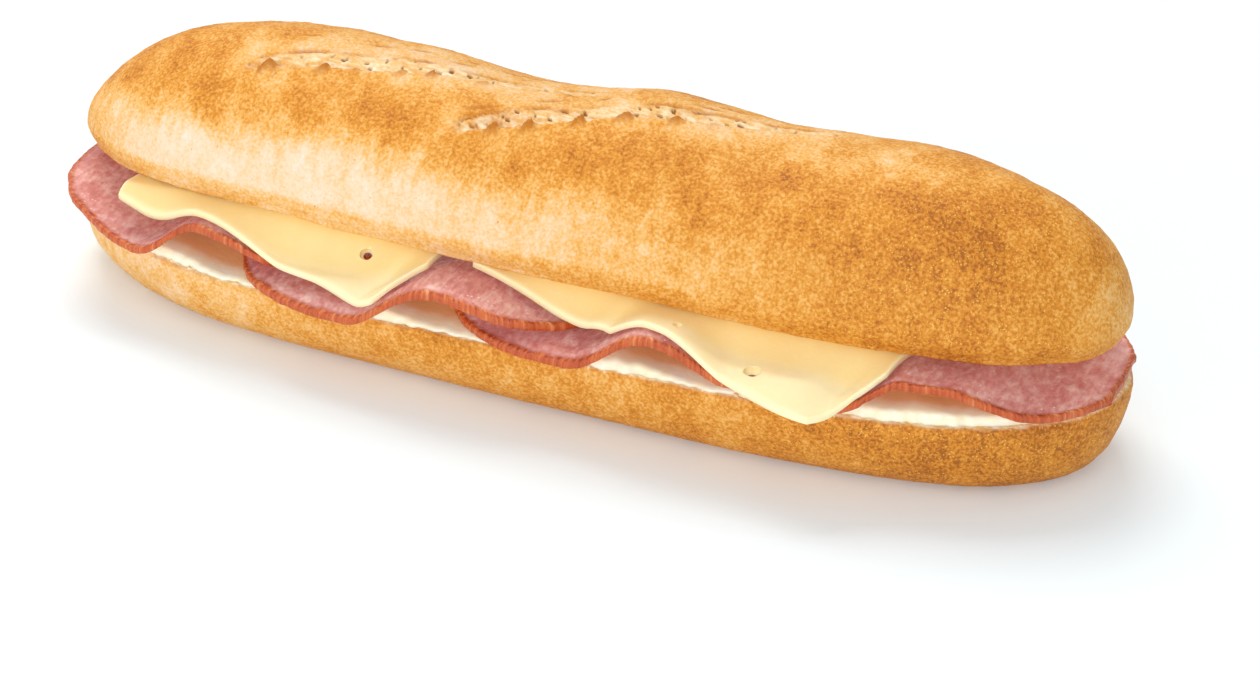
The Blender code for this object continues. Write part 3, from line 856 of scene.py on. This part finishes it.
class Nodes:
    """A material's node tree, built by short calls."""

    def __init__(self, name):
        self.material = bpy.data.materials.new(name)
        self.material.use_nodes = True
        self.tree = self.material.node_tree
        self.shader = self.tree.nodes["Principled BSDF"]
        self.place = self.add("ShaderNodeTexCoord").outputs["Object"]

    def add(self, kind):
        return self.tree.nodes.new(kind)

    def put(self, socket, value):
        if isinstance(value, bpy.types.NodeSocket):
            self.tree.links.new(value, socket)
        else:
            socket.default_value = value

    def stored(self, name):
        node = self.add("ShaderNodeAttribute")
        node.attribute_name = name
        return node.outputs["Fac"]

    def axis(self, name):
        node = self.add("ShaderNodeSeparateXYZ")
        self.put(node.inputs[0], self.place)
        return node.outputs[name]

    def math(self, operation, a, b=0.0, clamp=False):
        node = self.add("ShaderNodeMath")
        node.operation = operation
        node.use_clamp = clamp
        self.put(node.inputs[0], a)
        self.put(node.inputs[1], b)
        return node.outputs[0]

    def stretched(self, scale):
        node = self.add("ShaderNodeMapping")
        self.put(node.inputs["Vector"], self.place)
        node.inputs["Scale"].default_value = scale
        return node.outputs[0]

    def noise(self, size, detail=3.0, vector=None):
        """Noise of 0 to 1 with features of the given size in metres."""
        node = self.add("ShaderNodeTexNoise")
        self.put(node.inputs["Vector"], vector or self.place)
        node.inputs["Scale"].default_value = 1 / size
        node.inputs["Detail"].default_value = detail
        node.inputs["Roughness"].default_value = 0.6
        return node.outputs[0]

    def cells(self, size):
        """The distance to the nearest of many scattered points, in their own spacing."""
        node = self.add("ShaderNodeTexVoronoi")
        self.put(node.inputs["Vector"], self.place)
        node.inputs["Scale"].default_value = 1 / size
        return node.outputs["Distance"]

    def span(self, value, low, high, to_low=0.0, to_high=1.0):
        """The value moved from one span to another, and kept inside it."""
        node = self.add("ShaderNodeMapRange")
        node.interpolation_type = "SMOOTHSTEP"
        self.put(node.inputs["Value"], value)
        for key, setting in zip(("From Min", "From Max", "To Min", "To Max"), (low, high, to_low, to_high)):
            node.inputs[key].default_value = setting
        return node.outputs[0]

    def ramp(self, value, stops):
        node = self.add("ShaderNodeValToRGB")
        self.put(node.inputs[0], value)
        line = node.color_ramp.elements
        while len(line) < len(stops):
            line.new(0.5)
        for element, (place, colour) in zip(line, stops):
            element.position = place
            element.color = linear(*colour)
        return node.outputs[0]

    def mix(self, share, a, b):
        node = self.add("ShaderNodeMix")
        node.data_type = "RGBA"
        self.put(node.inputs[0], share)
        self.put(node.inputs[6], a)
        self.put(node.inputs[7], b)
        return node.outputs[2]

    def bump(self, height, distance, strength=1.0, normal=None):
        node = self.add("ShaderNodeBump")
        node.inputs["Strength"].default_value = strength
        node.inputs["Distance"].default_value = distance
        self.put(node.inputs["Height"], height)
        if normal is not None:
            self.put(node.inputs["Normal"], normal)
        return node.outputs[0]

    def finish(self, **sockets):
        for key, value in sockets.items():
            self.put(self.shader.inputs[key.replace("_", " ")], value)
        return self.material


def crust_material():
    made = Nodes("baked_crust")
    grain = made.noise(0.75 * MM, 5)
    strength = made.span(made.stored("toast"), 0.1, 0.8, 0.15, 0.4)
    grains = made.math("MULTIPLY", made.span(grain, 0.3, 0.7, -0.5, 0.5), strength)
    toast = made.math("ADD", made.stored("toast"), grains)
    patch = made.noise(2.6 * MM, 4)
    toast = made.math("ADD", toast, made.span(patch, 0.25, 0.75, -0.06, 0.06))
    colour = made.ramp(toast, (
        (0.0, (244, 224, 207)),
        (0.22, (242, 207, 166)),
        (0.45, (236, 179, 98)),
        (0.65, (221, 147, 48)),
        (0.85, (198, 121, 34)),
        (1.0, (164, 94, 24)),
    ))
    flecks = made.span(made.cells(0.65 * MM), 0.36, 0.16)
    some = made.span(made.noise(1.7 * MM, 3), 0.46, 0.6)
    browner = made.span(made.axis("X"), 10 * MM, 90 * MM, 0.06, 0.8)
    shown = made.math("MULTIPLY", made.math("MULTIPLY", flecks, some), browner)
    colour = made.mix(shown, colour, linear(250, 198, 98))
    pricks = made.span(made.cells(2.7 * MM), 0.1, 0.05)
    pricks = made.math("MULTIPLY", pricks, made.span(grain, 0.45, 0.6))
    colour = made.mix(made.math("MULTIPLY", pricks, 0.6), colour, linear(150, 78, 20))
    strands = made.noise(1.0 * MM, 4, made.stretched((0.35, 1.0, 1.0)))
    crumb = made.mix(made.span(strands, 0.35, 0.65), linear(228, 184, 108), linear(255, 246, 216))
    colour = made.mix(made.math("MULTIPLY", made.stored("crumb"), 0.85, True), colour, crumb)
    colour = made.mix(made.math("MULTIPLY", made.stored("tips"), 0.95, True), colour, linear(184, 106, 14))
    # Painted shade: the pits in the torn crumb are coloured dark brown, like the shade inside them
    colour = made.mix(made.math("MULTIPLY", made.stored("pits"), 1.3, True), colour, linear(150, 88, 8))
    fine = made.bump(grain, 0.2 * MM)
    rough_normal = made.bump(made.noise(0.35 * MM, 2), 0.05 * MM, 0.6, fine)
    return made.finish(
        Base_Color=colour,
        Roughness=made.span(made.stored("toast"), 0.2, 0.9, 0.72, 0.6),
        Specular_IOR_Level=0.28,
        Subsurface_Weight=0.08,
        Subsurface_Radius=(0.9, 0.45, 0.2),
        Subsurface_Scale=1.2 * MM,
        Normal=rough_normal,
    )


def ham_material():
    made = Nodes("smoked_ham")
    fibre = made.noise(1.3 * MM, 5, made.stretched((1.0, 0.45, 1.0)))
    cloudy = made.noise(8 * MM, 3)
    tone = made.math("ADD", made.math("MULTIPLY", fibre, 0.6), made.math("MULTIPLY", cloudy, 0.4))
    meat = made.ramp(made.span(tone, 0.3, 0.7), (
        (0.0, (202, 118, 114)),
        (0.5, (223, 154, 147)),
        (1.0, (242, 198, 190)),
    ))
    fat = made.span(made.noise(7 * MM, 5, made.stretched((0.8, 1.0, 1.0))), 0.62, 0.74)
    meat = made.mix(made.math("MULTIPLY", fat, 0.6), meat, linear(246, 216, 206))
    specks = made.span(made.cells(1.9 * MM), 0.17, 0.07)
    speck = made.math("MULTIPLY", specks, made.span(made.noise(9 * MM, 2), 0.48, 0.58))
    meat = made.mix(made.math("MULTIPLY", speck, 0.8), meat, linear(252, 232, 220))
    along = made.add("ShaderNodeCombineXYZ")
    made.put(along.inputs[0], made.stored("turn"))
    made.put(along.inputs[1], made.math("MULTIPLY", made.stored("inside"), 0.3))
    ticks = made.noise(0.9 * MM, 5, along.outputs[0])
    smoke = made.math("ADD", made.span(ticks, 0.3, 0.7), made.span(cloudy, 0.3, 0.7, -0.2, 0.2))
    rind = made.ramp(smoke, (
        (0.0, (150, 50, 14)),
        (0.4, (192, 84, 34)),
        (0.8, (220, 122, 62)),
        (1.0, (238, 166, 114)),
    ))
    outer = made.span(made.stored("inside"), 0.7 * MM, 0.0)
    rind = made.mix(made.math("MULTIPLY", outer, 0.45), rind, linear(196, 84, 26))
    colour = made.mix(made.stored("rind"), meat, rind)
    raised = made.math("MULTIPLY", ticks, made.span(made.stored("inside"), 2 * MM, 0.4 * MM))
    normal = made.bump(raised, 0.5 * MM)
    normal = made.bump(fibre, 0.15 * MM, 1.0, normal)
    return made.finish(
        Base_Color=colour,
        Roughness=made.span(made.noise(1.8 * MM, 3), 0.3, 0.7, 0.22, 0.42),
        Specular_IOR_Level=0.5,
        Subsurface_Weight=0.3,
        Subsurface_Radius=(1.0, 0.35, 0.25),
        Subsurface_Scale=1.0 * MM,
        Normal=normal,
    )


def cheese_material():
    made = Nodes("sliced_cheese")
    tone = made.noise(9 * MM, 4)
    colour = made.mix(made.span(tone, 0.3, 0.7), linear(247, 226, 174), linear(250, 232, 184))
    # Painted shade: a deeper yellow where the cheese goes in under the top half's rim, warmed like light
    # bounced from the bread
    colour = made.mix(made.math("MULTIPLY", made.stored("under_top_half"), 0.45), colour, linear(240, 196, 90))
    colour = made.mix(made.math("MULTIPLY", made.stored("edge"), 0.6), colour, linear(255, 242, 200))
    return made.finish(
        Base_Color=colour,
        Roughness=0.42,
        Specular_IOR_Level=0.45,
        Subsurface_Weight=0.35,
        Subsurface_Radius=(1.0, 0.7, 0.25),
        Subsurface_Scale=1.4 * MM,
        Normal=made.bump(made.noise(1.2 * MM, 3), 0.05 * MM),
    )


def spread_material():
    made = Nodes("creamy_spread")
    tone = made.span(made.noise(5 * MM, 3), 0.3, 0.7)
    colour = made.mix(tone, linear(254, 242, 204), linear(255, 249, 224))
    # Painted shade: deeper in under the ham the spread is tinted orange, like shade with light reflected from
    # the ham
    colour = made.mix(made.math("MULTIPLY", made.stored("deep"), 0.85), colour, linear(236, 168, 96))
    return made.finish(
        Base_Color=colour,
        Roughness=0.22,
        Specular_IOR_Level=0.55,
        Subsurface_Weight=0.4,
        Subsurface_Radius=(1.0, 0.8, 0.45),
        Subsurface_Scale=2.0 * MM,
        Normal=made.bump(made.noise(2.4 * MM, 2), 0.15 * MM),
    )


# ---- Room


def add_floor():
    bpy.ops.mesh.primitive_plane_add(size=FLOOR_SIZE)
    floor = bpy.context.object
    floor.name = "floor"
    made = Nodes("white_floor")
    finish = made.finish(Base_Color=FLOOR_COLOUR, Roughness=0.9, Specular_IOR_Level=0.1)
    floor.data.materials.append(finish)


def add_light(name, place, size, watts, aim, colour):
    data = bpy.data.lights.new(name, "AREA")
    data.shape = "RECTANGLE"
    data.size, data.size_y = size
    data.energy = watts
    data.color = colour
    lamp = bpy.data.objects.new(name, data)
    lamp.location = place
    lamp.rotation_euler = (Vector(aim) - Vector(place)).to_track_quat("-Z", "Y").to_euler()
    bpy.context.collection.objects.link(lamp)
    return lamp


def add_room():
    add_floor()
    lamps = {name: add_light(name, *settings) for name, settings in LIGHTS.items()}
    lamps["front_fill"].data.use_shadow = False
    world = bpy.data.worlds.new("studio")
    world.use_nodes = True
    sky = world.node_tree.nodes["Background"]
    sky.inputs["Color"].default_value = SKY_COLOUR
    sky.inputs["Strength"].default_value = SKY_STRENGTH
    bpy.context.scene.world = world
    bpy.context.scene.view_settings.view_transform = "Standard"


def add_camera():
    target = Vector(CAMERA_TARGET) + Vector(SHIFT)
    away = Vector((
        math.sin(CAMERA_AZIMUTH) * math.cos(CAMERA_ELEVATION),
        -math.cos(CAMERA_AZIMUTH) * math.cos(CAMERA_ELEVATION),
        math.sin(CAMERA_ELEVATION),
    ))
    data = bpy.data.cameras.new("camera")
    data.lens = CAMERA_LENS
    data.sensor_width = CAMERA_SENSOR
    camera = bpy.data.objects.new("camera", data)
    camera.location = target + away * CAMERA_DISTANCE
    roll = Quaternion((0, 0, 1), CAMERA_ROLL)
    camera.rotation_euler = ((-away).to_track_quat("-Z", "Y") @ roll).to_euler()
    bpy.context.collection.objects.link(camera)
    bpy.context.scene.camera = camera


add_camera()
CRUST = crust_material()
HAM_FINISH = ham_material()
CHEESE_FINISH = cheese_material()
SPREAD_FINISH = spread_material()
add_bottom()
add_top()
add_spread()
for seed, slice_name in enumerate(HAM):
    add_ham(slice_name, seed)
for seed, slice_name in enumerate(CHEESE):
    add_cheese(slice_name, seed)
add_crumbs()
add_room()
